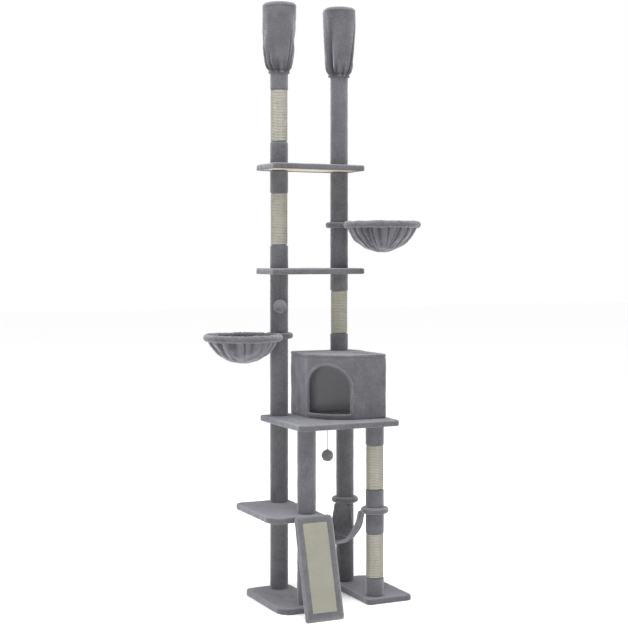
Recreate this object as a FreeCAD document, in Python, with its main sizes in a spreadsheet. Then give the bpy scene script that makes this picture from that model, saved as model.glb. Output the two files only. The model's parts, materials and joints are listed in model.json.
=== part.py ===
import FreeCAD, Part
import os
import re
from math import cos, exp, log, sin
from Sketcher import Constraint

# A floor-to-ceiling cat tree. The origin is on the floor under the middle of the back left
# column, +X runs to the back right column, -Y is the front and +Z is up.

doc = FreeCAD.newDocument("CatTree")
sheet = doc.addObject("Spreadsheet::Sheet", "Sizes")

sizes = [
    # boards and columns
    ("board", 25, "thickness of a plush-covered board"),
    ("plush", 3, "thickness of the plush cover"),
    ("hem", 14, "width of the plush turned under a board"),
    ("edgeRound", 6, "rounding of a board's plush edges"),
    ("postRadius", 39, "radius of a plush-covered post"),
    ("tubeRadius", 34, "radius of a post's paper tube"),
    ("tubeBore", 30, "inner radius of a post's paper tube"),
    ("sisalRadius", 37, "radius over the wound sisal"),
    ("plug", 20, "depth of the wooden plug in each end of a tube"),
    ("studRadius", 4, "radius of the studs between posts"),
    ("studSlack", 0.2, "clearance round a stud"),
    ("studBite", 16, "how far a stud goes into a plug or a base"),
    ("snug", 0.1, "clearance round wires, pins and screws"),
    # where the columns stand
    ("frontDepth", 284, "from the back columns to the front ones"),
    ("rightSpan", 320, "from the left columns to the lower right ones"),
    ("upperSpan", 291, "from the left column to the upper right one"),
    # heights
    ("lowerPost", 350, "length of the posts under the two lowest levels"),
    ("shelfRise", 615, "from the big platform's top to the lower shelf"),
    ("upperRise", 424, "from the lower shelf's top to the upper shelf"),
    ("topPost", 436, "length of the posts above the upper shelf"),
    ("leftArmRise", 335, "from the big platform's top to the left basket's arm"),
    ("rightArmRise", 178, "from the lower shelf's top to the right basket's arm"),
    ("armGap", 0.3, "clearance above and below a basket's arm"),
    # outlines of the boards, measured out from the column axes
    ("baseRearOut", 58, "a base behind the back columns"),
    ("baseFrontOut", 60, "a base before the front columns"),
    ("leftBaseOut", 140, "the left base left of its columns"),
    ("leftBaseIn", 70, "the left base right of its columns"),
    ("rightBaseOut", 149, "the right base right of its columns"),
    ("rightBaseIn", 61, "the right base left of its columns"),
    ("lowDeckOut", 187, "the low platform left of its columns"),
    ("lowDeckIn", 60, "the low platform right of its columns"),
    ("deckOut", 69, "the big platform past the left columns"),
    ("deckRight", 76, "the big platform past the right columns"),
    ("deckFront", 88, "the big platform before the front columns"),
    ("deckBack", 57, "the big platform behind the back columns"),
    ("shelfLeft", 90, "a shelf left of the left column"),
    ("shelfRight", 54, "a shelf right of the upper right column"),
    ("shelfFront", 153, "a shelf before the columns"),
    ("shelfBack", 51, "a shelf behind the columns"),
    ("bigCorner", 55, "rounding of the left base's and low platform's front left corners"),
    ("midCorner", 34, "rounding of their back left corners"),
    ("smallCorner", 14, "rounding of the other corners"),
    # the sisal stretches: how much plush is left below and above each
    ("sisalLong", 228, "sisal on the two upper left posts"),
    ("sisalShort", 190, "sisal on the front right and upper right posts"),
    ("cuffHigh", 99, "plush below the sisal of the upper left posts"),
    ("cuffLow", 75, "plush below the sisal of the other posts"),
    # condo
    ("condoLeft", 74, "the condo's left wall right of the left column"),
    ("condoRightOut", 54, "the condo's right wall right of the lower right columns"),
    ("condoFront", 290, "the condo's front before the back columns"),
    ("condoBack", 45, "the condo's back wall behind the back columns"),
    ("condoTall", 275, "height of the condo over the big platform"),
    ("condoBend", 170, "outer bend of the rounded front corner"),
    ("condoWall", 12, "thickness of the walls"),
    ("condoRoof", 15, "thickness of the roof"),
    ("doorWide", 198, "width of the arched door"),
    ("doorTall", 213, "height of the arched door over its sill"),
    ("doorSill", 20, "height of the sill over the platform"),
    ("doorTurn", 222, "bearing that the door faces, in degrees from +X"),
    ("trim", 8, "width of the plush piping round the door"),
    ("trimProud", 3, "how far the piping stands off the wall"),
    # hammock
    ("discRadius", 59, "radius of the hammock's two discs"),
    ("hammockSag", 134, "sag of the hammock's middle"),
    ("hammockCloth", 8, "thickness of the doubled plush"),
    ("hammockTip", 38, "half width of the hammock's tips"),
    # ramp
    ("rampWide", 168, "width of the ramp"),
    ("rampThick", 20, "thickness of the ramp"),
    ("rampLean", 16, "degrees the ramp leans from upright"),
    ("rampLeft", 8, "the ramp's middle left of the left columns"),
    ("rampCorner", 20, "rounding of the ramp's top corners"),
    ("matBorder", 30, "plush left round the ramp's sisal mat"),
    ("matThick", 4, "thickness of the mat"),
    ("hingeDrop", 6, "hinge axis below the low platform's top"),
    ("hingeGap", 6, "hinge axis before the low platform's edge"),
    ("hingeRadius", 3.5, "radius of the hinge knuckles"),
    ("pinRadius", 1.5, "radius of the hinge pins"),
    ("hingeWide", 30, "width of one hinge"),
    ("hingeSpread", 45, "each hinge from the ramp's middle"),
    ("leaf", 2, "thickness of the hinge leaves"),
    ("leafTall", 16, "height of the hinge leaves"),
    ("rampTop", 6, "top of the ramp above its hinge axis"),
    # baskets
    ("armRadius", 60, "rounded end of a basket's arm"),
    ("basketGap", 5, "room between a column's post and the plush roll of its basket"),
    ("hoopRing", 154, "radius of a basket's steel hoop"),
    ("hoopWire", 3, "radius of the hoop's wire"),
    ("rollRadius", 14, "radius of the plush roll over the hoop"),
    ("leftDeep", 120, "depth of the left basket from the top of its roll"),
    ("rightDeep", 131, "depth of the right basket from the top of its roll"),
    ("basketCloth", 6, "thickness of a basket's gathered plush"),
    ("prongSpread", 28, "each prong of a hoop from the arm's middle line"),
    ("prongEnd", 15, "end of the prongs from the column's axis"),
    ("armSlack", 0.3, "clearance between an arm and the plush roll"),
    ("leftBearing", 200, "direction of the left basket from its column"),
    ("rightBearing", 306, "direction of the right basket from its column"),
    # ceiling jacks
    ("coverTall", 305, "height of a ceiling cover"),
    ("coverRadius", 74, "radius of a cover at its top"),
    ("coverWaist", 62, "radius of a cover above its gathered hem"),
    ("coverCloth", 3, "thickness of a cover"),
    ("hemSlack", 0.6, "room between a post and the elastic hem of its cover"),
    ("jackLift", 267, "from a top post to the ceiling"),
    ("screwRadius", 6, "radius of a jack's screw"),
    ("screwLong", 430, "length of a jack's screw"),
    ("padRadius", 62, "radius of a jack's ceiling plate"),
    ("padThick", 10, "thickness of a jack's ceiling plate"),
    ("nutRadius", 30, "radius of a jack's hand nut"),
    ("nutTall", 18, "height of a jack's hand nut"),
    # hanging toys
    ("highLeft", 44, "the high ball left of the left column"),
    ("highFront", 110, "the high ball before the back columns"),
    ("lowRight", 137, "the low ball right of the left column"),
    ("lowFront", 200, "the low ball before the back columns"),
    ("highBall", 28, "radius of the ball under the lower shelf"),
    ("highCord", 110, "length of its cord"),
    ("highCordRadius", 1.3, "radius of its cord"),
    ("lowBall", 25, "radius of the ball under the big platform"),
    ("lowCord", 108, "length of its cord"),
    ("lowCordRadius", 1.6, "radius of its cord"),
    ("toyGap", 0.3, "clearance above a cord and above a ball"),
]
for row, (name, value, note) in enumerate(sizes, 1):
    sheet.set(f"A{row}", name)
    sheet.set(f"B{row}", str(value))
    sheet.set(f"C{row}", note)
    sheet.setAlias(f"B{row}", name)
doc.recompute()

NAMES = {name for name, value, note in sizes}
parts = []

# levels: the underside of each board
low = "(board + lowerPost)"
deck = "(2 * board + 2 * lowerPost)"
lowerShelf = f"({deck} + board + shelfRise)"
upperShelf = f"({lowerShelf} + board + upperRise)"
leftArm = f"({deck} + board + leftArmRise)"
rightArm = f"({lowerShelf} + board + rightArmRise)"
condoTop = f"({deck} + board + condoTall)"
postTop = f"({upperShelf} + board + topPost)"
ceiling = f"({postTop} + jackLift)"

# from a column to the middle of its basket
basketReach = "(postRadius + basketGap + rollRadius + hoopRing)"

# columns: x and y of each axis
columns = {
    "a": ("0", "0"),
    "b": ("0", "-frontDepth"),
    "c": ("rightSpan", "0"),
    "d": ("rightSpan", "-frontDepth"),
    "e": ("upperSpan", "0"),
}


def linked(expression):
    """The expression with each size written as the sheet's cell."""
    return re.sub(r"[A-Za-z]+", lambda m: f"Sizes.{m[0]}" if m[0] in NAMES else m[0], str(expression))


def size(expression):
    return float(sheet.evalExpression(linked(expression)))


def bind(thing, **formulas):
    for prop, formula in formulas.items():
        thing.setExpression(prop.replace("_", "."), linked(formula))


def move(thing, x="0", y="0", z="0"):
    bind(thing, Placement_Base_x=x, Placement_Base_y=y, Placement_Base_z=z)
    return thing


def keep(thing, label):
    """Marks a finished sub-part, whose label names its file."""
    thing.Label = label
    parts.append(thing)
    return thing


def cylinder(name, radius, height, x="0", y="0", z="0"):
    shape = doc.addObject("Part::Cylinder", name)
    bind(shape, Radius=radius, Height=height)
    return move(shape, x, y, z)


def sphere(name, radius, x="0", y="0", z="0"):
    shape = doc.addObject("Part::Sphere", name)
    bind(shape, Radius=radius)
    return move(shape, x, y, z)


def ring(name, radius, wire, x="0", y="0", z="0"):
    shape = doc.addObject("Part::Torus", name)
    bind(shape, Radius1=radius, Radius2=wire)
    return move(shape, x, y, z)


def box(name, length, width, height, x, y, z):
    shape = doc.addObject("Part::Box", name)
    bind(shape, Length=length, Width=width, Height=height)
    return move(shape, x, y, z)


def joined(name, shapes):
    fuse = doc.addObject("Part::MultiFuse", name)
    fuse.Shapes = shapes
    return fuse


def cut(name, base, tools):
    result = doc.addObject("Part::Cut", name)
    result.Base = base
    result.Tool = tools[0] if len(tools) == 1 else joined(name + "Tools", tools)
    return result


def common(name, base, tool):
    result = doc.addObject("Part::Common", name)
    result.Base, result.Tool = base, tool
    return result


def outline(sketch, corners):
    """A closed outline of straight sides. Each corner is (across, up) or (across, up, rounding), and
    the sketch's constraints hold all of them to the sheet."""
    count = len(corners)
    at = [FreeCAD.Vector(size(c[0]), size(c[1]), 0) for c in corners]
    rounds = [size(c[2]) if len(c) > 2 else 0 for c in corners]
    ends = []
    for i, here in enumerate(at):
        to_last = (at[i - 1] - here).normalize()
        to_next = (at[(i + 1) % count] - here).normalize()
        turn = to_last.getAngle(to_next)
        reach = rounds[i] * cos(turn / 2) / sin(turn / 2)
        ends.append((here + to_last * reach, here + to_next * reach, turn, to_last, to_next))
    sides = []
    for i in range(count):
        line = Part.LineSegment(ends[i][1], ends[(i + 1) % count][0])
        sides.append(sketch.addGeometry(line, False))
    for i in range(count):
        before, after = sides[i - 1], sides[i]
        if not rounds[i]:
            sketch.addConstraint(Constraint("Coincident", before, 2, after, 1))
            hold(sketch, after, corners[i])
            continue
        start, stop, turn, to_last, to_next = ends[i]
        forward = to_next.cross(to_last).z > 0
        centre = at[i] + (to_last + to_next).normalize() * (rounds[i] / sin(turn / 2))
        circle = Part.Circle(centre, FreeCAD.Vector(0, 0, 1), rounds[i])
        span = [circle.parameter(point) for point in ((start, stop) if forward else (stop, start))]
        arc = sketch.addGeometry(Part.ArcOfCircle(circle, *span), False)
        sketch.addConstraint(Constraint("Tangent", before, 2, arc, 1 if forward else 2))
        sketch.addConstraint(Constraint("Tangent", arc, 2 if forward else 1, after, 1))
        corner = sketch.addGeometry(Part.Point(at[i]), True)
        sketch.addConstraint(Constraint("PointOnObject", corner, 1, before))
        sketch.addConstraint(Constraint("PointOnObject", corner, 1, after))
        hold(sketch, corner, corners[i])
        radius = sketch.addConstraint(Constraint("Radius", arc, rounds[i]))
        sketch.setExpression(f"Constraints[{radius}]", linked(corners[i][2]))


def hold(sketch, element, corner):
    """Ties the start of a sketch element to its place from the sketch's origin."""
    for kind, formula in zip(("DistanceX", "DistanceY"), corner):
        index = sketch.addConstraint(Constraint(kind, -1, 1, element, 1, size(formula)))
        sketch.setExpression(f"Constraints[{index}]", linked(formula))


def sketched(name, plane, corners):
    """A body with one sketch of an outline on one of its origin planes."""
    body = doc.addObject("PartDesign::Body", name)
    sketch = body.newObject("Sketcher::SketchObject", name + "Sketch")
    sketch.AttachmentSupport = [(f, "") for f in body.Origin.OriginFeatures if f.Role == plane]
    sketch.MapMode = "FlatFace"
    outline(sketch, corners)
    return body, sketch


def plate(name, corners, thickness, z, rounding=None):
    """A flat board with the outline as seen from above, and softly rounded edges if asked."""
    body, sketch = sketched(name, "XY_Plane", corners)
    pad = body.newObject("PartDesign::Pad", name + "Pad")
    pad.Profile = sketch
    bind(pad, Length=thickness)
    if rounding:
        doc.recompute()
        fillet = body.newObject("PartDesign::Fillet", name + "Round")
        flat = [f"Edge{i}" for i, e in enumerate(pad.Shape.Edges, 1) if e.BoundBox.ZLength < 0.01]
        fillet.Base = (pad, flat)
        bind(fillet, Radius=rounding)
    return move(body, z=z)


def turned(name, profile, x="0", y="0", z="0"):
    """A round piece from its half profile, whose corners are (radius, height)."""
    body, sketch = sketched(name, "XZ_Plane", profile)
    turn = body.newObject("PartDesign::Revolution", name + "Turn")
    turn.Profile = sketch
    turn.ReferenceAxis = (sketch, ["V_Axis"])
    turn.Angle = 360
    return move(body, x, y, z)


def rectangle(left, right, front, back, corners, inset="0"):
    """Plan of a board. The corners' roundings run front left, front right, back right, back left."""
    places = [(f"{left} + {inset}", f"{front} + {inset}"), (f"{right} - {inset}", f"{front} + {inset}"),
              (f"{right} - {inset}", f"{back} - {inset}"), (f"{left} + {inset}", f"{back} - {inset}")]
    return [(x, y, f"{r} - {inset}") for (x, y), r in zip(places, corners)]


# ---- studs: one through each level of a column, from plug to plug ----

def stud_levels():
    """For each column, the underside and the thickness of what each stud goes through. A stud in a
    base starts inside it."""
    base = ("board - studBite", "studBite")
    return {
        "a": [base, (low, "board"), (deck, "board"), (leftArm, "board"), (lowerShelf, "board"),
              (upperShelf, "board")],
        "b": [base, (low, "board"), (deck, "board")],
        "c": [base, (low, "board"), (deck, "board")],
        "d": [base, (low, "board"), (deck, "board")],
        "e": [(f"{condoTop} - condoRoof", "condoRoof"), (lowerShelf, "board"), (rightArm, "board"),
              (upperShelf, "board")],
    }


def studs(label, names):
    bolts = []
    for column in names:
        for number, (start, through) in enumerate(stud_levels()[column]):
            lower_end = "0" if number == 0 else "studBite"
            upper_end = "0" if column in "bcd" and number == 2 else "studBite"
            bolts.append(cylinder(f"stud_{column}{number + 1}", "studRadius",
                                  f"{through} + {lower_end} + {upper_end}",
                                  *columns[column], f"{start} - {lower_end}"))
    keep(joined(label, bolts), label)


def bores(name, names, bottom, depth):
    """Tools that drill the stud holes of a board, for the columns that pass it."""
    return [cylinder(f"{name}_{c}", "studRadius + studSlack", depth, *columns[c], bottom) for c in names]


# ---- boards ----

def base_board(label, plan, names):
    """A thick base wrapped in plush all round, with blind stud holes in its top."""
    blank = plate(label + "_blank", plan, "board", "0", "edgeRound")
    keep(cut(label, blank, bores(label + "_bore", names, "board - studBite - studSlack", "2 * studBite")),
         label)


def covered_board(label, plan, level, names):
    """A bare board and its plush cover, which is turned under and leaves the underside bare."""
    drills = bores(label + "_bore", names, f"{level} - board", "3 * board")
    core = plate(label + "_core_blank", plan("plush"), "board - 2 * plush", f"{level} + plush")
    keep(cut(label + "_core", core, drills), label + "_core")
    skin = plate(label + "_skin", plan("0"), "board", level, "edgeRound")
    window = plate(label + "_window", plan("hem"), "2 * plush", f"{level} - plush")
    keep(cut(label + "_plush", skin, [core, window] + drills), label + "_plush")


def boards():
    sides = ("-frontDepth - baseFrontOut", "baseRearOut")
    base_board("left_base", rectangle("-leftBaseOut", "leftBaseIn", *sides,
               ("bigCorner", "smallCorner", "midCorner", "midCorner")), "ab")
    base_board("right_base", rectangle("rightSpan - rightBaseIn", "rightSpan + rightBaseOut", *sides,
               ("smallCorner", "smallCorner", "bigCorner", "smallCorner")), "cd")
    covered_board("low_platform", lambda inset: rectangle("-lowDeckOut", "lowDeckIn", *sides,
                  ("bigCorner", "smallCorner + plush", "smallCorner + plush", "midCorner"), inset), low, "ab")
    even = ("smallCorner + plush",) * 4
    covered_board("big_platform", lambda inset: rectangle("-deckOut", "rightSpan + deckRight",
                  "-frontDepth - deckFront", "deckBack", even, inset), deck, "abcd")
    for label, level in (("lower_shelf", lowerShelf), ("upper_shelf", upperShelf)):
        covered_board(label, lambda inset: rectangle("-shelfLeft", "upperSpan + shelfRight",
                      "-shelfFront", "shelfBack", even, inset), level, "ae")


# ---- posts ----

def post(label, column, bottom, length, cuff=None, sisal=None, mouth="studRadius + studSlack"):
    """A paper tube in a plush sleeve, closed by a plug at each end. Between the cuffs of a scratching
    post the tube is bare, and the sisal is wound on it as a piece of its own."""
    hole = "studRadius + studSlack"
    outside = [("postRadius", "0"), ("postRadius", length)]
    if sisal:
        outside[1:1] = [("postRadius", cuff), ("tubeRadius", cuff),
                        ("tubeRadius", f"{cuff} + {sisal}"), ("postRadius", f"{cuff} + {sisal}")]
        winding = [("tubeRadius", "0"), ("sisalRadius", "0"), ("sisalRadius", sisal), ("tubeRadius", sisal)]
        keep(turned("sisal_" + column + label[-1], winding, *columns[column], f"{bottom} + {cuff}"),
             "sisal_" + column + label[-1])
    inside = [(mouth, length), (mouth, f"{length} - plug"), ("tubeBore", f"{length} - plug"),
              ("tubeBore", "plug"), (hole, "plug"), (hole, "0")]
    keep(turned(label, outside + inside, *columns[column], bottom), label)


def posts():
    armTop = "(board + 2 * armGap)"
    post("post_a1", "a", "board", "lowerPost")
    post("post_a2", "a", f"{low} + board", "lowerPost")
    post("post_a3", "a", f"{deck} + board", "(leftArmRise - armGap)")
    post("post_a4", "a", f"{leftArm} - armGap + {armTop}", f"({lowerShelf} - {leftArm} + armGap - {armTop})")
    post("post_a5", "a", f"{lowerShelf} + board", "upperRise", "cuffHigh", "sisalLong")
    post("post_a6", "a", f"{upperShelf} + board", "topPost", "cuffHigh", "sisalLong",
         "screwRadius + snug")
    for column in "bcd":
        extra = ("cuffLow", "sisalShort") if column == "d" else ()
        post(f"post_{column}1", column, "board", "lowerPost", *extra)
        post(f"post_{column}2", column, f"{low} + board", "lowerPost", *extra)
    post("post_e1", "e", condoTop, f"({lowerShelf} - {condoTop})", "cuffLow", "sisalShort")
    post("post_e2", "e", f"{lowerShelf} + board", "(rightArmRise - armGap)")
    post("post_e3", "e", f"{rightArm} - armGap + {armTop}",
         f"({upperShelf} - {rightArm} + armGap - {armTop})")
    post("post_e4", "e", f"{upperShelf} + board", "topPost", mouth="screwRadius + snug")


# ---- hammock ----

def hammock():
    """A sagging triangle of doubled plush, slung between two discs and the low platform's underside.
    Its level is the plane through its three corners less a sag. The sag grows, steeply at first, as
    the squares of a place's three shares in the corners shrink, and fades to nothing past a corner."""
    for column in "cd":
        disc = cylinder(f"disc_{column}", "discRadius", "board", *columns[column], low)
        keep(cut(f"hammock_disc_{column}", disc, bores(f"disc_bore_{column}", column, f"{low} - board",
             "3 * board")), f"hammock_disc_{column}")
    centres = [FreeCAD.Vector(size(x), size(y), 0) for x, y in (columns["b"], columns["d"], columns["c"])]
    middle = (centres[0] + centres[1] + centres[2]) * (1 / 3)
    radius, tip, sag, cloth = size("discRadius"), size("hammockTip"), size("hammockSag"), size("hammockCloth")
    underside, half = size(low), size("board") / 2
    levels = [underside, underside + half, underside + half]
    corners = [c + (middle - c).normalize() * radius for c in centres]

    def height(x, y):
        (x1, y1), (x2, y2), (x3, y3) = [(c.x, c.y) for c in corners]
        area = (y2 - y3) * (x1 - x3) + (x3 - x2) * (y1 - y3)
        first = ((y2 - y3) * (x - x3) + (x3 - x2) * (y - y3)) / area
        second = ((y3 - y1) * (x - x3) + (x1 - x3) * (y - y3)) / area
        shares = (first, second, 1 - first - second)
        slack = 1.5 * (1 - sum(s * s for s in shares))
        drop = sag * (1 - exp(-2 * slack)) / (1 - exp(-2))
        return sum(s * z for s, z in zip(shares, levels)) - cloth * log(1 + exp(drop / cloth))

    edge = radius + tip
    west, east = corners[0].x - edge, corners[1].x + edge
    south, north = corners[1].y - edge, corners[2].y + edge
    steps = [i / 14 for i in range(15)]
    grid = [[FreeCAD.Vector(west + u * (east - west), south + v * (north - south), 0) for v in steps]
            for u in steps]
    for line in grid:
        for point in line:
            point.z = height(point.x, point.y)
    surface = Part.BSplineSurface()
    surface.interpolate(grid)
    slab = surface.toShape().extrude(FreeCAD.Vector(0, 0, -cloth))

    # plan: three tips joined by slightly hollow edges
    wide, places = [], []
    for centre, corner in zip(centres, corners):
        inward = (corner - centre).normalize()
        across = FreeCAD.Vector(-inward.y, inward.x, 0) * tip
        wide.append((corner + across, corner - across))
    for i in range(3):
        (first, second), (third, fourth) = wide[i], wide[(i + 1) % 3]
        places.append(Part.LineSegment(first, second).toShape())
        hollow = (second + third) * 0.5 + (middle - (second + third) * 0.5) * 0.12
        places.append(Part.Arc(second, hollow, third).toShape())
    floor = Part.Face(Part.Wire(Part.__sortEdges__(places)))
    prism = floor.extrude(FreeCAD.Vector(0, 0, underside + 2 * size("board")))
    shape = slab.common(prism)
    for centre in centres:
        shape = shape.cut(Part.makeCylinder(radius, 4 * size("board"),
                          centre + FreeCAD.Vector(0, 0, underside - 3 * size("board"))))
    sling = doc.addObject("Part::Feature", "hammock")
    sling.Shape = shape.Solids[0]
    keep(sling, "hammock")


# ---- ramp ----
# The ramp is drawn upright with its hinge axis at the origin, then leaned and moved to its place.

deckEdge = "-frontDepth - baseFrontOut"
hingeY = f"({deckEdge} - hingeGap)"
hingeZ = f"({low} + board - hingeDrop)"
rampFoot = f"(({hingeZ} + hingeGap * sin(rampLean)) / cos(rampLean))"


def leaning(thing):
    thing.Placement.Rotation = FreeCAD.Rotation(FreeCAD.Vector(-1, 0, 0), size("rampLean"))
    thing.setExpression("Placement.Rotation.Angle", linked("rampLean"))
    return move(thing, "-rampLeft", hingeY, hingeZ)


def upright(name, corners, out, thickness):
    """An upright board, drawn as seen from the front, that starts so far out from the hinge axis."""
    body, sketch = sketched(name, "XZ_Plane", corners)
    sketch.setExpression("AttachmentOffset.Base.z", linked(out))
    pad = body.newObject("PartDesign::Pad", name + "Pad")
    pad.Profile = sketch
    bind(pad, Length=thickness)
    return body


def hinge_half(name, toward, thirds):
    """Leaf and knuckles of both hinges, round an axis through the origin. The leaf is toward (1) or
    before (-1) the axis, and thirds are the knuckles' places along a hinge."""
    shapes = []
    for side, middle in (("left", "-hingeSpread"), ("right", "hingeSpread")):
        start = "-hingeGap" if toward < 0 else "hingeGap - leaf"
        shapes.append(box(f"{name}_{side}_leaf", "hingeWide", "leaf", "leafTall",
                          f"{middle} - hingeWide / 2", start, "-leafTall"))
        for third in thirds:
            left = f"{middle} + (2 * {third} - 3) * hingeWide / 6 + snug"
            long = "hingeWide / 3 - 2 * snug"
            barrel = cylinder(f"{name}_{side}_barrel{third}", "hingeRadius", long, left)
            barrel.Placement.Rotation = FreeCAD.Rotation(FreeCAD.Vector(0, 1, 0), 90)
            reach = "-hingeGap" if toward < 0 else "0"
            strip = box(f"{name}_{side}_strip{third}", long, "hingeGap", "leaf", left, reach, "-hingeRadius")
            shapes += [barrel, strip]
    return shapes


def hinge_pins(name, radius):
    pins = []
    for side, middle in (("left", "-hingeSpread"), ("right", "hingeSpread")):
        pin = cylinder(f"{name}_{side}", radius, "hingeWide", f"{middle} - hingeWide / 2")
        pin.Placement.Rotation = FreeCAD.Rotation(FreeCAD.Vector(0, 1, 0), 90)
        pins.append(pin)
    return pins


def ramp():
    half, top, foot = "rampWide / 2", "rampTop", f"-{rampFoot}"
    corners = [(f"-{half}", foot, "edgeRound"), (half, foot, "edgeRound"), (half, top, "rampCorner"),
               (f"-{half}", top, "rampCorner")]
    keep(leaning(upright("ramp_board", corners, "hingeGap", "rampThick")), "ramp_board")
    half, top, foot = f"({half} - matBorder)", f"{top} - matBorder", f"{foot} + matBorder"
    corners = [(f"-{half}", foot), (half, foot), (half, top), (f"-{half}", top)]
    keep(leaning(upright("ramp_mat", corners, "hingeGap + rampThick", "matThick")), "ramp_mat")
    moving = cut("ramp_hinge_leaf", joined("moving_leaf", hinge_half("moving", -1, (1,))),
                 hinge_pins("moving_bore", "pinRadius + snug"))
    keep(leaning(moving), "ramp_hinge_leaf")
    fixed = joined("deck_hinge_leaf", hinge_half("fixed", 1, (0, 2)) + hinge_pins("pin", "pinRadius"))
    keep(move(fixed, "-rampLeft", hingeY, hingeZ), "deck_hinge_leaf")


# ---- condo ----

def condo_plan(inset):
    return [("condoLeft + " + inset, "-condoFront + " + inset, "condoBend - " + inset),
            ("rightSpan + condoRightOut - " + inset, "-condoFront + " + inset),
            ("rightSpan + condoRightOut - " + inset, "condoBack - " + inset),
            ("condoLeft + " + inset, "condoBack - " + inset)]


def doorway(name, grow):
    """The arched way in, as a long block that faces the door's bearing from the bend's middle."""
    half, rise = f"(doorWide / 2 + {grow})", "(doorTall - doorWide / 2)"
    bottom = f"{deck} + board + doorSill"
    block = box(name + "_block", "condoBend * 1.5", f"2 * {half}", f"{rise} + {grow}", "0", f"-{half}",
                f"-{rise} - {grow}")
    arch = cylinder(name + "_arch", half, "condoBend * 1.5")
    arch.Placement.Rotation = FreeCAD.Rotation(FreeCAD.Vector(0, 1, 0), 90)
    way = joined(name, [block, arch])
    way.Placement.Rotation = FreeCAD.Rotation(FreeCAD.Vector(0, 0, 1), size("doorTurn"))
    way.setExpression("Placement.Rotation.Angle", linked("doorTurn"))
    return move(way, "condoLeft + condoBend", "-condoFront + condoBend", f"{bottom} + {rise}")


def condo():
    floor, wall = f"{deck} + board", "condoTall - condoRoof"
    solid = plate("condo_block", condo_plan("0"), wall, floor)
    hollow = plate("condo_hollow", condo_plan("condoWall"), wall, floor)
    back = box("condo_rear", "rightSpan + condoRightOut - condoLeft - 2 * condoWall", "condoWall", wall,
               "condoLeft + condoWall", "condoBack - condoWall", floor)
    keep(back, "condo_back_wall")
    keep(cut("condo_wall", solid, [hollow, back, doorway("door", "0")]), "condo_wall")
    roof = plate("condo_lid", condo_plan("0"), "condoRoof", f"{condoTop} - condoRoof")
    keep(cut("condo_roof_cut", roof, bores("condo_roof_bore", "e", f"{condoTop} - 2 * condoRoof",
         "3 * condoRoof")), "condo_roof")
    proud = plate("piping_outside", condo_plan("(0 - trimProud)"), wall, floor)
    band = cut("piping_band", proud, [solid, doorway("piping_hole", "0")])
    keep(common("door_piping", band, doorway("piping", "trim")), "door_piping")


# ---- baskets ----
# A basket is drawn with its column at the origin and the basket out along +X.

def basket(side, column, level):
    half, roll, bearing = "board / 2", "rollRadius", f"{side}Bearing"
    depth = f"({side}Deep - {roll})"
    ball = f"((hoopRing * hoopRing + {depth} * {depth}) / (2 * {depth}))"
    centre = (basketReach, "0", f"{half} - {depth} + {ball}")

    def prongs(name, radius):
        bars = []
        for end, y in (("left", "-prongSpread"), ("right", "prongSpread")):
            long = f"{basketReach} - prongEnd - sqrt(hoopRing * hoopRing - prongSpread * prongSpread)"
            bar = cylinder(f"{side}_{name}_{end}", radius, long, "prongEnd", y, half)
            bar.Placement.Rotation = FreeCAD.Rotation(FreeCAD.Vector(0, 1, 0), 90)
            bars.append(bar)
        return bars

    def placed(thing, label):
        thing.Placement.Rotation = FreeCAD.Rotation(FreeCAD.Vector(0, 0, 1), size(bearing))
        thing.setExpression("Placement.Rotation.Angle", linked(bearing))
        keep(move(thing, *columns[column], level), label)

    disc = cylinder(f"{side}_disc", "armRadius", "board")
    room = cylinder(f"{side}_room", f"hoopRing + {roll} + armSlack", "3 * board", basketReach, z="-board")
    hole = cylinder(f"{side}_arm_bore", "studRadius + studSlack", "3 * board", z="-board")
    placed(cut(f"{side}_arm", disc, [room, hole] + prongs("seat", "hoopWire + snug")), f"{side}_basket_arm")
    hoop = ring(f"{side}_hoop", "hoopRing", "hoopWire", basketReach, "0", half)
    placed(joined(f"{side}_hoop_all", [hoop] + prongs("prong", "hoopWire")), f"{side}_basket_hoop")
    outer = sphere(f"{side}_outer", ball, *centre)
    inner = sphere(f"{side}_inner", f"{ball} - basketCloth", *centre)
    shell = cut(f"{side}_shell", outer, [inner])
    below = cylinder(f"{side}_below", "hoopRing", f"2 * {depth}", basketReach, z=f"{half} - 2 * {depth}")
    tube = ring(f"{side}_roll", "hoopRing", roll, basketReach, "0", half)
    cloth = joined(f"{side}_cloth", [common(f"{side}_bowl_shell", shell, below), tube])
    groove = ring(f"{side}_groove", "hoopRing", "hoopWire + snug", basketReach, "0", half)
    placed(cut(f"{side}_bowl", cloth, [groove] + prongs("slot", "hoopWire + snug")), f"{side}_basket_bowl")


# ---- ceiling jacks ----

def jack(side, column):
    x, y = columns[column]
    plateTop = f"{ceiling} - coverCloth"
    screw = cylinder(f"{side}_screw", "screwRadius", "screwLong", x, y, f"{plateTop} - padThick - screwLong")
    pad = cylinder(f"{side}_pad", "padRadius", "padThick", x, y, f"{plateTop} - padThick")
    keep(joined(f"{side}_jack", [screw, pad]), f"{side}_jack_screw")
    knob = doc.addObject("Part::Prism", f"{side}_knob")
    knob.Polygon = 6
    bind(knob, Circumradius="nutRadius", Height="nutTall")
    move(knob, x, y, postTop)
    hole = cylinder(f"{side}_knob_bore", "screwRadius + snug", "3 * nutTall", x, y, f"{postTop} - nutTall")
    keep(cut(f"{side}_nut", knob, [hole]), f"{side}_jack_nut")
    hem = "postRadius + hemSlack"
    outside = [("0", "coverTall"), ("coverRadius", "coverTall", "edgeRound"), ("coverWaist", "50"),
               (f"{hem} + coverCloth", "12"), (f"{hem} + coverCloth", "0")]
    inside = [(hem, "0"), (hem, "12"), ("coverWaist - coverCloth", "50"),
              ("coverRadius - coverCloth", "coverTall - coverCloth"), ("0", "coverTall - coverCloth")]
    keep(turned(f"{side}_cover", outside + inside, x, y, f"{ceiling} - coverTall"), f"{side}_ceiling_cover")


# ---- hanging toys ----

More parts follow.
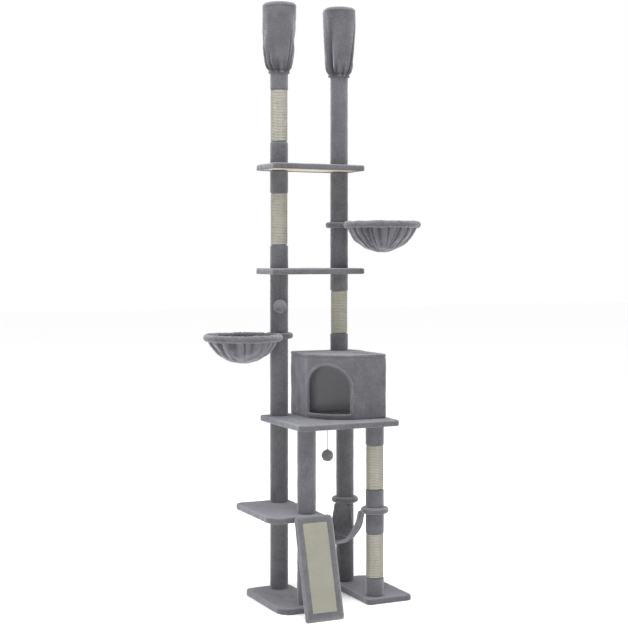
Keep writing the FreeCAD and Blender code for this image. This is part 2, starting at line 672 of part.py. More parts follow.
def toy(name, x, y, level, cord, cordRadius, ball):
    """A ball on a cord that hangs from a board's bare underside. The cord's ends are round, and it
    and the ball swing about their middles."""
    top = f"{level} + plush - toyGap - {cordRadius}"
    foot = f"{top} - {cord} + 2 * {cordRadius}"
    string = cylinder(f"{name}_string", cordRadius, f"{cord} - 2 * {cordRadius}", x, y, foot)
    ends = [sphere(f"{name}_{end}_end", cordRadius, x, y, z) for end, z in (("top", top), ("foot", foot))]
    keep(joined(f"{name}_cord", [string] + ends), f"{name}_ball_cord")
    keep(sphere(f"{name}_sphere", ball, x, y, f"{foot} - {cordRadius} - toyGap - {ball}"), f"{name}_ball")


boards()
posts()
studs("left_studs", "ab")
studs("right_studs", "cde")
hammock()
ramp()
condo()
basket("left", "a", leftArm)
basket("right", "e", rightArm)
jack("left", "a")
jack("right", "e")
toy("high", "-highLeft", "-highFront", lowerShelf, "highCord", "highCordRadius", "highBall")
toy("low", "lowRight", "-lowFront", deck, "lowCord", "lowCordRadius", "lowBall")

doc.recompute()
for thing in doc.Objects:
    if "Invalid" in thing.State or "Error" in thing.State:
        raise RuntimeError(f"{thing.Name} failed: {thing.State}")
for thing in parts:
    if thing.Shape.isNull() or not thing.Shape.isValid() or not thing.Shape.Solids:
        raise RuntimeError(f"{thing.Label} has no valid solid")

os.makedirs("parts", exist_ok=True)
for thing in parts:
    thing.Shape.exportStep(f"parts/{thing.Label}.step")
    bounds = thing.Shape.BoundBox
    print(f"{thing.Label:22s} {thing.Shape.Volume / 1000:9.1f} cm3  x {bounds.XMin:7.1f} {bounds.XMax:7.1f}"
          f"  y {bounds.YMin:7.1f} {bounds.YMax:7.1f}  z {bounds.ZMin:7.1f} {bounds.ZMax:7.1f}")
print(len(parts), "sub-parts")
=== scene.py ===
import bmesh
import bpy
import json
import numpy as np
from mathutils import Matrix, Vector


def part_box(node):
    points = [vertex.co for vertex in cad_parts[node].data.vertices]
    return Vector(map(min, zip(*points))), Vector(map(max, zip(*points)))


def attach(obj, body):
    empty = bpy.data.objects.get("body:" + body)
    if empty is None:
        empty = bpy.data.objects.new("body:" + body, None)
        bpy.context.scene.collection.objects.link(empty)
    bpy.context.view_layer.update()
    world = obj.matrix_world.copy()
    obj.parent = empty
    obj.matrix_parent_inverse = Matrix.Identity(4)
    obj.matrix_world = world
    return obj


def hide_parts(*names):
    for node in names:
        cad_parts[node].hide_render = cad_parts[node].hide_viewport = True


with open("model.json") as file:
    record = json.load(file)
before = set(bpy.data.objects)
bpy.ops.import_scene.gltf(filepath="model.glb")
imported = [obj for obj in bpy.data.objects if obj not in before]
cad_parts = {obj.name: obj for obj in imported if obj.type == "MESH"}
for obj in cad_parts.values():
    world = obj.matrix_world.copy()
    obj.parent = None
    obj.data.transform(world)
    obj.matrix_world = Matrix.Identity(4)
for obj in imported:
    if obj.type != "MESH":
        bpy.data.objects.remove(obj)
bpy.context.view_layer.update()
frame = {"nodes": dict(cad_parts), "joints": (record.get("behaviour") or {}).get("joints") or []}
tau = 2 * np.pi

# camera: level, a little above the middle of the tree, from the front left

camera = {"place": (-2.312, -5.270, 1.460), "turn": -25.2, "lens": 75.8, "shiftDown": -0.0892}
view = bpy.data.cameras.new("view")
view.lens, view.sensor_width, view.shift_y = camera["lens"], 36, camera["shiftDown"]
viewer = bpy.data.objects.new("viewer", view)
viewer.location = camera["place"]
viewer.rotation_euler = (np.pi / 2, 0, np.radians(camera["turn"]))
bpy.context.collection.objects.link(viewer)
bpy.context.scene.camera = viewer
bpy.context.scene.view_settings.view_transform = "Standard"
print("camera placed")

# grid surfaces


def unit(v):
    return v / np.maximum(np.linalg.norm(v, axis=-1, keepdims=True), 1e-12)


def swept(turn, radius, height):
    # points at a radius and a height for each turn round the Z axis
    return np.stack(np.broadcast_arrays(np.cos(turn) * radius, np.sin(turn) * radius, height), -1)


def boxOf(node):
    return [np.array(corner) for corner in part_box(node)]


def meshFromGrid(name, points, loopU=True, loopV=False, uv=None):
    # points is (across, along, 3); each cell becomes a quad, and a loop joins the last row to the first.
    # A tube, looped one way only, is closed at both ends.
    nu, nv = points.shape[:2]
    u = np.arange(nu if loopU else nu - 1)
    v = np.arange(nv if loopV else nv - 1)
    a, b = (x.ravel() for x in np.meshgrid(u, v, indexing="ij"))
    a2, b2 = (a + 1) % nu, (b + 1) % nv
    quads = np.stack([a * nv + b, a2 * nv + b, a2 * nv + b2, a * nv + b2], 1)
    co = points.reshape(-1, 3)
    sizes = np.full(len(quads), 4)
    corners = quads.ravel()
    for row in (0, nv - 1) if loopU and not loopV else ():
        co = np.vstack([co, points[:, row].mean(0)])
        ring, nextRing = np.arange(nu) * nv + row, (np.arange(nu) + 1) % nu * nv + row
        tri = np.stack([ring, nextRing, np.full(nu, len(co) - 1)], 1)
        tri = tri[:, ::-1] if row == 0 else tri
        corners = np.concatenate([corners, tri.ravel()])
        sizes = np.concatenate([sizes, np.full(nu, 3)])
    mesh = bpy.data.meshes.new(name)
    mesh.vertices.add(len(co))
    mesh.vertices.foreach_set("co", np.ascontiguousarray(co, np.float32).ravel())
    mesh.loops.add(len(corners))
    mesh.loops.foreach_set("vertex_index", corners.astype(np.int32))
    mesh.polygons.add(len(sizes))
    mesh.polygons.foreach_set("loop_start", (np.cumsum(sizes) - sizes).astype(np.int32))
    mesh.polygons.foreach_set("loop_total", sizes.astype(np.int32))
    mesh.polygons.foreach_set("use_smooth", np.ones(len(sizes), bool))
    mesh.update(calc_edges=True)
    if uv is not None:
        layer = mesh.uv_layers.new(name="UVMap")
        flat = np.zeros((len(co), 2))
        flat[: nu * nv] = uv.reshape(-1, 2)
        layer.data.foreach_set("uv", flat[corners].astype(np.float32).ravel())
    mesh.validate()
    return mesh


def outward(points, loopU=True, loopV=False):
    # unit normals of a grid from the differences of neighbouring rows
    def slope(axis, loop):
        if loop:
            return np.roll(points, -1, axis) - np.roll(points, 1, axis)
        return np.gradient(points, axis=axis)
    return unit(np.cross(slope(0, loopU), slope(1, loopV)))


def grain(points, wave, seed, count=28):
    # soft random bumps: many sine waves of about one wavelength in random directions, added
    rng = np.random.default_rng(seed)
    way = rng.normal(size=(count, 3))
    way *= (tau / wave / rng.uniform(0.7, 1.5, count) / np.linalg.norm(way, axis=1))[:, None]
    phase = rng.uniform(0, tau, count)
    total = np.zeros(points.shape[:-1])
    for w, p in zip(way, phase):
        total += np.sin(points @ w + p)
    return total * np.sqrt(2 / count)


def addPiece(name, points, material, body, nodes=(), slot="plush", lift=None, **shape):
    # a grid made into a piece; its per-point float is painted light and shade for its colour: a painted
    # highlight above zero, painted shade below
    mesh = meshFromGrid(name, points, **shape)
    piece = bpy.data.objects.new(name, mesh)
    bpy.context.collection.objects.link(piece)
    mesh.materials.append(material)
    if lift is not None:
        data = mesh.attributes.new("lift", "FLOAT", "POINT")
        flat = np.zeros(len(mesh.vertices), np.float32)
        flat[: lift.size] = lift.ravel()
        data.data.foreach_set("value", flat)
    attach(piece, body)
    if nodes:
        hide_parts(*nodes)
    return piece


# materials


def newMaterial(name, roughness=0.9, sheen=0.0, tint=(1, 1, 1), metal=0.0, specular=0.5):
    m = bpy.data.materials.new(name)
    m.use_nodes = True
    shader = m.node_tree.nodes["Principled BSDF"]
    shader.inputs["Roughness"].default_value = roughness
    shader.inputs["Metallic"].default_value = metal
    shader.inputs["Sheen Weight"].default_value = sheen
    shader.inputs["Sheen Roughness"].default_value = 0.45
    shader.inputs["Sheen Tint"].default_value = (*tint, 1)
    shader.inputs["Specular IOR Level"].default_value = specular
    return m, m.node_tree, shader


def noiseNode(tree, vector, scale, detail, rough):
    n = tree.nodes.new("ShaderNodeTexNoise")
    n.inputs["Scale"].default_value = scale
    n.inputs["Detail"].default_value = detail
    n.inputs["Roughness"].default_value = rough
    tree.links.new(vector, n.inputs["Vector"])
    return n.outputs["Fac"]


def rampNode(tree, factor, stops):
    r = tree.nodes.new("ShaderNodeValToRGB")
    ramp = r.color_ramp
    while len(ramp.elements) < len(stops):
        ramp.elements.new(0.5)
    for element, (place, colour) in zip(ramp.elements, stops):
        element.position, element.color = place, (*colour, 1)
    tree.links.new(factor, r.inputs["Fac"])
    return r.outputs["Color"]


def feed(tree, socket, value):
    # a number or a colour is set, and anything else is linked
    if isinstance(value, float):
        socket.default_value = value
    elif isinstance(value, tuple):
        socket.default_value = (*value, 1)
    else:
        tree.links.new(value, socket)


def mixNode(tree, kind, factor, a, b):
    m = tree.nodes.new("ShaderNodeMix")
    m.data_type, m.blend_type = "RGBA", kind
    for socket, value in (("Factor", factor), ("A", a), ("B", b)):
        feed(tree, m.inputs[socket], value)
    return m.outputs["Result"]


def mathNode(tree, kind, a, b):
    m = tree.nodes.new("ShaderNodeMath")
    m.operation = kind
    feed(tree, m.inputs[0], a)
    feed(tree, m.inputs[1], b)
    return m.outputs[0]


def blend(tree, a, b, share):
    # a weighted sum, share of a and the rest of b
    parts = [mathNode(tree, "MULTIPLY", x, y) for x, y in ((a, share), (b, round(1 - share, 6)))]
    return mathNode(tree, "ADD", *parts)


def bumpNode(tree, shader, height, depth, strength):
    b = tree.nodes.new("ShaderNodeBump")
    b.inputs["Strength"].default_value = strength
    b.inputs["Distance"].default_value = depth
    tree.links.new(height, b.inputs["Height"])
    tree.links.new(b.outputs["Normal"], shader.inputs["Normal"])


def paintedLightAndShadeNode(tree):
    attribute = tree.nodes.new("ShaderNodeAttribute")
    attribute.attribute_name = "lift"
    return attribute.outputs["Fac"]


# the first three colours are the pile's own speckle; the fourth is the near-black of painted shade, and 1.7
# times the light colour is the painted highlight
plushLook = {"dark": (0.050, 0.049, 0.054), "mid": (0.077, 0.076, 0.083), "light": (0.142, 0.142, 0.150),
             "crease": (0.016, 0.0155, 0.018), "pile": 420, "patch": 16, "sheen": 0.55, "proud": 1.7}


def plushMaterial(name):
    # short pile: fibre-sized speckle and brushed patches, with a painted highlight where the per-point
    # float is above zero and painted shade where it is below
    m, tree, shader = newMaterial(name, 0.95, plushLook["sheen"], (0.8, 0.82, 0.9), specular=0.15)
    place = tree.nodes.new("ShaderNodeTexCoord").outputs["Object"]
    fibre = noiseNode(tree, place, plushLook["pile"], 4, 0.75)
    tuft = noiseNode(tree, place, plushLook["pile"] / 3, 3, 0.6)
    patch = noiseNode(tree, place, plushLook["patch"], 2, 0.5)
    stops = [(0.28, plushLook["dark"]), (0.5, plushLook["mid"]), (0.76, plushLook["light"])]
    speckle = rampNode(tree, blend(tree, fibre, tuft, 0.6), stops)
    brushed = rampNode(tree, patch, [(0.3, (0.86, 0.86, 0.87)), (0.7, (1.12, 1.12, 1.12))])
    colour = mixNode(tree, "MULTIPLY", 1.0, speckle, brushed)
    lift = paintedLightAndShadeNode(tree)
    # painted highlight towards a much lighter colour where the float is above zero, painted shade towards
    # near-black where it is below
    proud = mathNode(tree, "MAXIMUM", lift, 0.0)
    paintedShade = mathNode(tree, "MAXIMUM", mathNode(tree, "MULTIPLY", lift, -1.0), 0.0)
    colour = mixNode(tree, "MIX", proud, colour, tuple(plushLook["proud"] * c for c in plushLook["light"]))
    colour = mixNode(tree, "MIX", paintedShade, colour, plushLook["crease"])
    tree.links.new(colour, shader.inputs["Base Color"])
    bumpNode(tree, shader, mathNode(tree, "ADD", fibre, tuft), 0.0016, 0.8)
    return m


def sisalMaterial(name, pale, deep, fibreScale):
    # spun plant fibre on the piece's own UV: twisted strands, stray fibres and uneven dye
    m, tree, shader = newMaterial(name, 0.8, 0.15, (1, 0.98, 0.9), specular=0.25)
    uv = tree.nodes.new("ShaderNodeUVMap").outputs["UV"]
    place = tree.nodes.new("ShaderNodeTexCoord").outputs["Object"]
    twist = tree.nodes.new("ShaderNodeTexWave")
    twist.bands_direction = "DIAGONAL"
    for socket, value in (("Scale", fibreScale), ("Distortion", 3.5), ("Detail", 3), ("Detail Scale", 2.5)):
        twist.inputs[socket].default_value = value
    tree.links.new(uv, twist.inputs["Vector"])
    fibre = noiseNode(tree, place, 700, 5, 0.7)
    patch = noiseNode(tree, place, 22, 3, 0.6)
    mixed = blend(tree, twist.outputs["Fac"], fibre, 0.45)
    middle = tuple((a + b) / 2 for a, b in zip(pale, deep))
    colour = rampNode(tree, mixed, [(0.15, deep), (0.5, middle), (0.8, pale)])
    dye = rampNode(tree, patch, [(0.3, (0.90, 0.90, 0.87)), (0.7, (1.05, 1.05, 1.05))])
    colour = mixNode(tree, "MULTIPLY", 1.0, colour, dye)
    # painted shade: darkened towards a third of the deep colour where the float marks grooves between turns
    # and hollows of the weave
    colour = mixNode(tree, "MIX", paintedLightAndShadeNode(tree), colour, tuple(0.35 * c for c in deep))
    tree.links.new(colour, shader.inputs["Base Color"])
    bumpNode(tree, shader, mixed, 0.0009, 0.9)
    return m


def boardMaterial(name):
    # pressed board: pale chips of wood in glue
    m, tree, shader = newMaterial(name, 0.75, specular=0.3)
    place = tree.nodes.new("ShaderNodeTexCoord").outputs["Object"]
    chips = tree.nodes.new("ShaderNodeTexVoronoi")
    chips.inputs["Scale"].default_value = 320
    tree.links.new(place, chips.inputs["Vector"])
    dust = noiseNode(tree, place, 900, 4, 0.7)
    wood = [(0.1, (0.50, 0.42, 0.31)), (0.5, (0.66, 0.58, 0.46)), (0.9, (0.76, 0.70, 0.58))]
    chip = rampNode(tree, chips.outputs["Color"], wood)
    fine = rampNode(tree, dust, [(0.35, (0.82, 0.80, 0.76)), (0.65, (1.05, 1.05, 1.04))])
    tree.links.new(mixNode(tree, "MULTIPLY", 1.0, chip, fine), shader.inputs["Base Color"])
    bumpNode(tree, shader, dust, 0.0004, 0.5)
    return m


def steelMaterial(name):
    # zinc plate: bright, faintly mottled
    m, tree, shader = newMaterial(name, 0.34, metal=1.0)
    place = tree.nodes.new("ShaderNodeTexCoord").outputs["Object"]
    mottle = noiseNode(tree, place, 180, 3, 0.6)
    tree.links.new(rampNode(tree, mottle, [(0.3, (0.50, 0.50, 0.51)), (0.7, (0.68, 0.68, 0.69))]),
              shader.inputs["Base Color"])
    bumpNode(tree, shader, mottle, 0.0001, 0.4)
    return m


def cordMaterial(name, pale, deep):
    # yarn: fine noise between a deep and a pale colour, on object coordinates
    m, tree, shader = newMaterial(name, 0.85, 0.3, specular=0.2)
    place = tree.nodes.new("ShaderNodeTexCoord").outputs["Object"]
    yarn = noiseNode(tree, place, 900, 4, 0.7)
    tree.links.new(rampNode(tree, yarn, [(0.3, deep), (0.7, pale)]), shader.inputs["Base Color"])
    bumpNode(tree, shader, yarn, 0.0004, 0.8)
    return m


plush = plushMaterial("greyPlush")
sisalRope = sisalMaterial("sisalRope", (0.425, 0.418, 0.365), (0.225, 0.218, 0.18), 260)
sisalMat = sisalMaterial("sisalMat", (0.41, 0.41, 0.35), (0.22, 0.216, 0.172), 420)
bareBoard = boardMaterial("pressedBoard")
steel = steelMaterial("zincSteel")
darkCord = cordMaterial("darkElastic", (0.035, 0.035, 0.04), (0.012, 0.012, 0.014))
paleCord = cordMaterial("paleTwine", (0.34, 0.34, 0.36), (0.12, 0.12, 0.13))
print("materials made")

# cad nodes that stay

kept = {"core": bareBoard, "studs": steel, "jack_screw": steel, "jack_nut": steel, "hinge_leaf": steel,
        "hoop": steel}
for nodeName, node in frame["nodes"].items():
    for ending, material in kept.items():
        if nodeName.endswith(ending):
            node.data.materials.clear()
            node.data.materials.append(material)

# boards


def roundedOutline(corners, step):
    # evenly spaced points and inward normals of a convex outline, from (x, y, rounding) corners
    xy = np.array([c[:2] for c in corners], float)
    points, normals = [], []
    for i, r in enumerate(c[2] for c in corners):
        before, after = unit(xy[i - 1] - xy[i]), unit(xy[(i + 1) % len(xy)] - xy[i])
        half = np.arccos(np.clip(before @ after, -1, 1)) / 2
        centre = xy[i] + unit(before + after) * r / np.sin(half)
        start = np.arctan2(*(xy[i] + before * r / np.tan(half) - centre)[::-1])
        sweep = np.pi - 2 * half
        turn = start + np.linspace(0, sweep, max(5, int(np.ceil(sweep * r / step))))
        normal = -np.stack([np.cos(turn), np.sin(turn)], 1)
        points.append(centre - normal * r)
        normals.append(normal)
    p, n = np.vstack(points), np.vstack(normals)
    along = np.append(0, np.cumsum(np.linalg.norm(np.diff(np.vstack([p, p[:1]]), axis=0), axis=1)))
    count = int(along[-1] / step)
    at = np.arange(count) * along[-1] / count
    p, n = np.vstack([p, p[:1]]), np.vstack([n, n[:1]])
    p = np.stack([np.interp(at, along, p[:, k]) for k in (0, 1)], 1)
    n = np.stack([np.interp(at, along, n[:, k]) for k in (0, 1)], 1)
    return p, unit(n), at


boardLook = {"step": 0.0038, "edge": 0.0065, "edgeRows": 7, "inner": 0.013, "settle": 0.3e-3}
hemLook = {"cloth": 0.0028, "turned": 0.0026, "ragged": 0.0008, "core": 0.0045, "lid": 0.012, "lidRows": 12}


def wrappedBoard(outline, low, high, seed, edge=boardLook["edge"], hem=None):
    # a board in plush: rings follow the outline over the rounded edge, then shrink to the middle of the
    # top and of the underside. With a hem the underside stays open inside it.
    rim, inward, along = outline
    middle = rim.mean(0)
    rows = boardLook["edgeRows"]
    quarter = np.linspace(0, 1, rows) * np.pi / 2
    back = quarter[::-1]
    inset = edge * (1 - np.cos(np.append(back, quarter)))
    level = np.append(high - edge * (1 - np.sin(back)), low + edge * (1 - np.sin(quarter)))
    side = rim[:, None] + inward[:, None] * inset[None, :, None]
    side = np.concatenate([side, np.broadcast_to(level[None, :, None], (*side.shape[:2], 1))], 2)
    width = np.linalg.norm(rim - middle, axis=1).max()
    shares = np.linspace(0, 1, int(width / boardLook["step"] / 1.3))[:-1]
    ring = rim + inward * boardLook["inner"]
    top = middle + (ring - middle)[:, None] * shares[None, 1:, None]
    top = np.concatenate([top, ring[:, None]], 1)
    top = np.concatenate([top, np.full((*top.shape[:2], 1), high)], 2)
    if hem:
        core, lid, inset = low + hemLook["cloth"], high - hemLook["cloth"], hemLook["core"]
        under = [rim + inward * d for d in np.linspace(edge, hem, 4)[1:]]
        ragged = hemLook["ragged"] * grain(np.dstack([*under[-1].T, along])[0], 0.02, seed + 5)
        under[-1] = under[-1] + inward * ragged[:, None]
        loops = [(u, low) for u in under] + [(under[-1], low + hemLook["turned"])]
        loops += [(rim + inward * d, z) for d, z in ((inset, core), (inset, lid), (hemLook["lid"], lid))]
        hollow = np.stack([np.column_stack([xy, np.full(len(xy), z)]) for xy, z in loops], 1)
        inner = loops[-1][0] - middle
        shares = np.linspace(1, 0, hemLook["lidRows"])[None, 1:-1, None]
        ceiling = middle + inner[:, None] * shares
        ceiling = np.concatenate([ceiling, np.full((*ceiling.shape[:2], 1), lid)], 2)
        points = np.concatenate([top, side, hollow, ceiling], 1)
    else:
        flat = top[:, ::-1].copy()
        flat[..., 2] = low
        points = np.concatenate([top, side, flat], 1)
    lean = outward(points)
    push = 0.25e-3 * grain(points, 0.09, seed) + 0.25e-3 * grain(points, 0.0085, seed + 1)
    push += 0.2e-3 * grain(points, 0.0048, seed + 2)
    edgeShare = np.zeros(points.shape[:2])
    edgeShare[:, top.shape[1]:top.shape[1] + side.shape[1]] = 1
    pull = 0.2e-3 * grain(np.repeat(rim[:, None], points.shape[1], 1) @ np.eye(2, 3), 0.035, seed + 3)
    push += edgeShare * pull - boardLook["settle"]
    if not hem:
        push = np.where(points[..., 2] < low + 1e-4, np.minimum(push, -0.2e-3), push)
    if hem:
        push[:, -(hemLook["lidRows"] + 1):] = 0
    points = points + lean * push[..., None]
    points[..., 2] = np.clip(points[..., 2], low, None)
    # a painted highlight along the top ring and the upper rounded edge, varied a little at random
    lift = np.zeros(points.shape[:2])
    start = top.shape[1] - 1
    lift[:, start:start + rows] = 0.3 * np.sin(np.linspace(0, np.pi, rows))
    lift *= 1 + 0.12 * grain(points, 0.012, seed + 4)
    return points[:, ::-1], lift[:, ::-1]


def boxCorners(node, radii):
    (x0, y0, z0), (x1, y1, z1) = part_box(node)
    frontLeft, frontRight, backRight, backLeft = radii
    plan = [(x0, y0, frontLeft), (x1, y0, frontRight), (x1, y1, backRight), (x0, y1, backLeft)]
    return plan, z0, z1


# each board's corner roundings: front left, front right, back right, back left
boards = {
    "left_base": (0.055, 0.016, 0.034, 0.034), "right_base": (0.016, 0.016, 0.055, 0.016),
    "low_platform_plush": (0.055, 0.017, 0.017, 0.034), "big_platform_plush": (0.017,) * 4,
    "lower_shelf_plush": (0.017,) * 4, "upper_shelf_plush": (0.017,) * 4,
}
for number, (node, radii) in enumerate(boards.items()):
    plan, low, high = boxCorners(node, radii)
    hem = 0.014 if node.endswith("_plush") else None
    skin, lift = wrappedBoard(roundedOutline(plan, boardLook["step"]), low, high, 10 * number, hem=hem)
    addPiece(node.replace("_plush", "") + "_cover", skin, plush, "tree", [node], "plush", lift)
print("boards covered")

# posts


def turnedGrid(profile, around):
    # a (radius, height) profile swept round the Z axis
    turn = np.arange(around) * tau / around
    return swept(turn[:, None], *np.array(profile).T)


def fineProfile(corners, step):
    # straight runs between the corners, cut to about one step
    out = []
    for (r1, z1), (r2, z2) in zip(corners, corners[1:] + corners[:1]):
        n = max(1, int(np.hypot(r2 - r1, z2 - z1) / step))
        out += [(r1 + (r2 - r1) * k / n, z1 + (z2 - z1) * k / n) for k in range(n)]
    return out


postLook = {"radius": 0.039, "tube": 0.0335, "bore": 0.030, "round": 0.0022, "seam": 0.0011, "seamWide": 0.05,
            "seamAt": 0.62 * np.pi, "around": 64, "step": 0.0042}


def sleeve(name, node, seed, cuffs=None):
    # a plush sleeve on a tube: round at each cut end, with the sewn seam down the back
    (x0, y0, z0), (x1, y1, z1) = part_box(node)
    cx, cy = (x0 + x1) / 2, (y0 + y1) / 2
    r, b, e = postLook["radius"], postLook["bore"], postLook["round"]
    corners = [(b, z0), (r - e, z0), (r - 0.3 * e, z0 + 0.3 * e), (r, z0 + e)]
    if cuffs:
        low, high = cuffs
        t = postLook["tube"]
        corners += [(r, low - 2 * e), (r - 0.25 * e, low - 0.5 * e), (r - e, low), (t, low), (t, high),
                    (r - e, high), (r - 0.25 * e, high + 0.5 * e), (r, high + 2 * e)]
    corners += [(r, z1 - e), (r - 0.3 * e, z1 - 0.3 * e), (r - e, z1), (b, z1)]
    points = turnedGrid(fineProfile(corners, postLook["step"]), postLook["around"])
    turn = np.arctan2(points[..., 1], points[..., 0])
    outer = np.hypot(points[..., 0], points[..., 1]) > r - 0.5 * e
    points = points + np.array([cx, cy, 0])
    away = np.abs(np.angle(np.exp(1j * (turn - postLook["seamAt"])))) / postLook["seamWide"]
    seam = postLook["seam"] * (0.4 * np.exp(-((away - 2.2) ** 2)) - np.exp(-(away ** 2)))
    push = 0.14e-3 * grain(points, 0.06, seed) + 0.26e-3 * grain(points, 0.009, seed + 1) + seam
    points = points + outward(points, True, True) * (push * outer)[..., None]
    addPiece(name, points, plush, "tree", [node], "plush_post", loopV=True)


sisalOf = {f"post_{name}": f"sisal_{name}" for name in ("a5", "a6", "d1", "d2", "e1")}
for number, node in enumerate(sorted(n for n in frame["nodes"] if n.startswith("post_"))):
    ends = None
    if node in sisalOf:
        sisalLow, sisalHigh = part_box(sisalOf[node])
        ends = (sisalLow[2], sisalHigh[2])
    sleeve(node + "_sleeve", node, 100 + 7 * number, ends)
print("posts sleeved")

# sisal rope

ropeLook = {"thick": 0.0068, "perTurn": 112, "across": 9, "strands": 3, "strandDepth": 0.00028, "lay": 9,
            "wobble": 0.0002, "inner": 0.0022}


def woundRope(name, node, seed):
    # one rope wound round and round: an oval section carried up a helix, with its strands twisted
    low, high = boxOf(node)
    outer = (high[0] - low[0]) / 2
    turns = round((high[2] - low[2]) / ropeLook["thick"])
    pitch = (high[2] - low[2]) / turns
    turn = np.linspace(0, tau * (turns - 1), (turns - 1) * ropeLook["perTurn"])
    rng = np.random.default_rng(seed)
    section = np.arange(ropeLook["across"]) * tau / ropeLook["across"]
    twist = ropeLook["strands"] * (section[None, :] - turn[:, None] * ropeLook["lay"] / ropeLook["strands"])
    thick = 0.5 * pitch * 1.04 + ropeLook["strandDepth"] * np.cos(twist)
    bends = np.linspace(0, turn[-1], turns * 5)
    wobble = ropeLook["wobble"] * np.interp(turn, bends, rng.normal(size=len(bends)))
    middle = outer - 0.5 * pitch + wobble
    deep = ropeLook["inner"] / (0.5 * pitch)
    radius = middle[:, None] + thick * np.cos(section) * np.where(np.cos(section) > 0, 1, deep)
    rise = low[2] + 0.5 * pitch + turn * pitch / tau + 0.5 * wobble
    points = swept(turn[:, None], radius, rise[:, None] + thick * np.sin(section))
    points[..., :2] += (low + high)[:2] / 2
    uv = np.stack(np.broadcast_arrays(turn[:, None] * outer * 4, section / tau), 2)
    # painted shade on every face of each turn but the outer one, deepest against the post and where the turns
    # meet
    paintedShade = 0.95 * np.clip(0.9 - np.cos(section), 0, 1) ** 0.8 * np.ones_like(radius)
    points, uv = (grid.transpose(1, 0, 2)[::-1] for grid in (points, uv))
    addPiece(name, points, sisalRope, "tree", [node], "sisal_rope", paintedShade.T[::-1], uv=uv)


for number, node in enumerate(sorted(sisalOf.values())):
    woundRope(node + "_rope", node, 300 + number)
print("sisal wound")

# discs and basket arms


def roundOutline(centre, radius, flatBearing=None, flatAt=None):
    # a circle, cut straight where a basket's roll lies against it
    step = 0.0035
    count = int(tau * radius / step)
    turn = np.arange(count) * tau / count
    inward = -np.stack([np.cos(turn), np.sin(turn)], 1)
    rim = -inward * radius
    if flatBearing is not None:
        out = np.array([np.cos(flatBearing), np.sin(flatBearing)])
        past = rim @ out
        over = np.maximum(past - flatAt, 0)
        rim = rim - over[:, None] * out
        inward = np.where((over > 0)[:, None], -out, inward)
    return rim + centre, inward, np.arange(count) * step


discLook = {"radius": 0.059, "edge": 0.0115}
for number, nodeName in enumerate(("hammock_disc_c", "hammock_disc_d")):
    low, high = boxOf(nodeName)
    outline = roundOutline((low + high)[:2] / 2, discLook["radius"])
    skin, lift = wrappedBoard(outline, low[2], high[2], 500 + number, discLook["edge"])
    addPiece(nodeName + "_cover", skin, plush, "tree", [nodeName], "plush_board", lift)

# baskets

basketLook = {"reach": 0.212, "hoop": 0.154, "roll": 0.0145, "cloth": 0.005, "armRadius": 0.06,
              "armEdge": 0.0105, "flatAt": 0.049, "fold": 0.0105, "fineFold": 0.003, "pinch": 0.0042,
              "deep": {"left": 0.121, "right": 0.132},
              "flat": {"left": 0.42, "right": 0.44}, "bearing": {"left": 200, "right": 306},
              "column": {"left": (0, 0), "right": (0.291, 0)}}


def pleats(turn, seed, count, widest):
    # gathered cloth: sharp valleys of different widths and depths at uneven places round the rim
    rng = np.random.default_rng(seed)
    places = (np.arange(count) + rng.uniform(-0.38, 0.38, count)) * tau / count
    total = np.zeros_like(turn)
    reach = np.zeros_like(turn)
    for place, width, depth, far in zip(places, rng.uniform(0.35, 1, count) * widest,
                                        rng.uniform(0.25, 1, count), rng.uniform(0.3, 1.15, count)):
        away = np.angle(np.exp(1j * (turn - place))) / width
        valley = depth * np.exp(-np.abs(away) ** 1.4)
        total += valley
        reach = np.where(valley > 0.15, np.maximum(reach, far), reach)
    return total, reach


